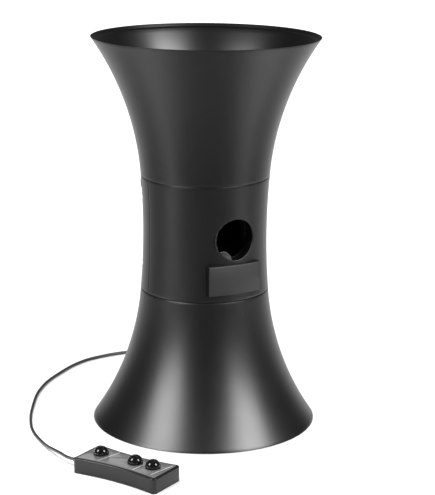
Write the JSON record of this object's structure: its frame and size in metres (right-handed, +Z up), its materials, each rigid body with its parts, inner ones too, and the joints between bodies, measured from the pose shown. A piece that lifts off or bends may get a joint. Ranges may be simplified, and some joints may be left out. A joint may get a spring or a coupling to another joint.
{
  "type": "table tennis robot",
  "caption": "Waisted free-standing table tennis robot with an open feed hopper on top, a round outlet in the middle and a wired remote control with round knobs.",
  "frame": {"origin": "on the floor, under the middle of the box round the robot and its remote, the cord left out", "axes": "+Z up along the robot's axis; -Y out of the outlet and the label plate; +X to the right as seen from behind the robot"},
  "size_m": [0.37, 0.473, 0.485],
  "materials": {
    "shell": "satin black moulded plastic",
    "plate": "fine matt black plastic, bare",
    "inner": "dark moulded plastic",
    "feed": "dark grey moulded nylon",
    "tyre": "soft black rubber",
    "steel": "zinc-plated steel",
    "contact": "plated contact metal",
    "cell": "plain printed sleeve",
    "board": "green circuit board",
    "panel": "satin grey panel",
    "knob": "glossy black plastic",
    "cord": "dark flexible cord sheath",
    "tie": "black cord tie"
  },
  "bodies": {
    "root": {"base_flare": "shell", "front_housing": "shell", "rear_housing": "shell", "label_plate": "plate", "housing_screw_1": "steel", "housing_screw_2": "steel", "housing_screw_3": "steel", "housing_screw_4": "steel", "feed_floor": "inner", "feed_gearbox": "inner", "feed_motor": "steel", "feed_chute": "inner", "throw_frame": "inner", "upper_wheel_motor": "steel", "lower_wheel_motor": "steel", "lower_deck": "inner", "control_board": "board", "remote_jack": "inner", "power_switch_body": "inner", "battery_cup": "inner", "battery_cell_1": "cell", "battery_cell_2": "cell", "battery_cell_3": "cell", "battery_cell_4": "cell", "battery_cell_5": "cell", "battery_cell_6": "cell", "upper_contact_plate": "contact", "remote_base": "shell", "remote_top": "shell", "remote_panel": "panel", "remote_board": "board", "feed_potentiometer": "inner", "speed_potentiometer_top": "inner", "speed_potentiometer_bottom": "inner", "remote_screw_1": "steel", "remote_screw_2": "steel", "remote_screw_3": "steel", "remote_screw_4": "steel", "remote_boot": "cord", "remote_plug": "cord", "cord_drop": "cord", "cord_coil": "cord", "cord_lead": "cord", "coil_tie": "tie"},
    "hopper": {"hopper_flare": "shell"},
    "feed_wheel": {"feed_rotor": "feed", "feed_shaft": "steel"},
    "upper_wheel": {"upper_wheel_hub": "inner", "upper_wheel_tyre": "tyre"},
    "lower_wheel": {"lower_wheel_hub": "inner", "lower_wheel_tyre": "tyre"},
    "feed_dial": {"feed_knob": "knob"},
    "top_speed_dial": {"speed_knob_top": "knob"},
    "bottom_speed_dial": {"speed_knob_bottom": "knob"},
    "power_switch": {"power_switch_slider": "knob"},
    "door": {"battery_door": "inner", "lower_contact_plate": "contact"}
  },
  "joints": [
    {"name": "hopper_lift", "type": "slide", "parent": "root", "child": "hopper", "axis": [0, 0, 1], "range_m": [0, 0.2]},
    {"name": "feed_spin", "type": "hinge", "parent": "root", "child": "feed_wheel", "pos_m": [0.0445, 0.0305, 0.31], "axis": [0, 0, 1], "continuous": true},
    {"name": "upper_wheel_spin", "type": "hinge", "parent": "root", "child": "upper_wheel", "pos_m": [0.0445, -0.0015, 0.2815], "axis": [1, 0, 0], "continuous": true},
    {"name": "lower_wheel_spin", "type": "hinge", "parent": "root", "child": "lower_wheel", "pos_m": [0.0445, -0.0015, 0.2125], "axis": [1, 0, 0], "continuous": true},
    {"name": "feed_knob_turn", "type": "hinge", "parent": "root", "child": "feed_dial", "pos_m": [-0.15237, -0.0751, 0.02], "axis": [0, 0, 1], "range_deg": [-150, 150]},
    {"name": "top_speed_knob_turn", "type": "hinge", "parent": "root", "child": "top_speed_dial", "pos_m": [-0.13012, -0.11876, 0.02], "axis": [0, 0, 1], "range_deg": [-150, 150]},
    {"name": "bottom_speed_knob_turn", "type": "hinge", "parent": "root", "child": "bottom_speed_dial", "pos_m": [-0.11882, -0.14094, 0.02], "axis": [0, 0, 1], "range_deg": [-150, 150]},
    {"name": "power_switch_slide", "type": "slide", "parent": "root", "child": "power_switch", "axis": [0.6428, -0.766, 0], "range_m": [0, 0.004]},
    {"name": "battery_door_turn", "type": "hinge", "parent": "root", "child": "door", "pos_m": [0.0445, 0.0305, 0.11], "axis": [0, 0, 1], "range_deg": [0, 20]}
  ]
}
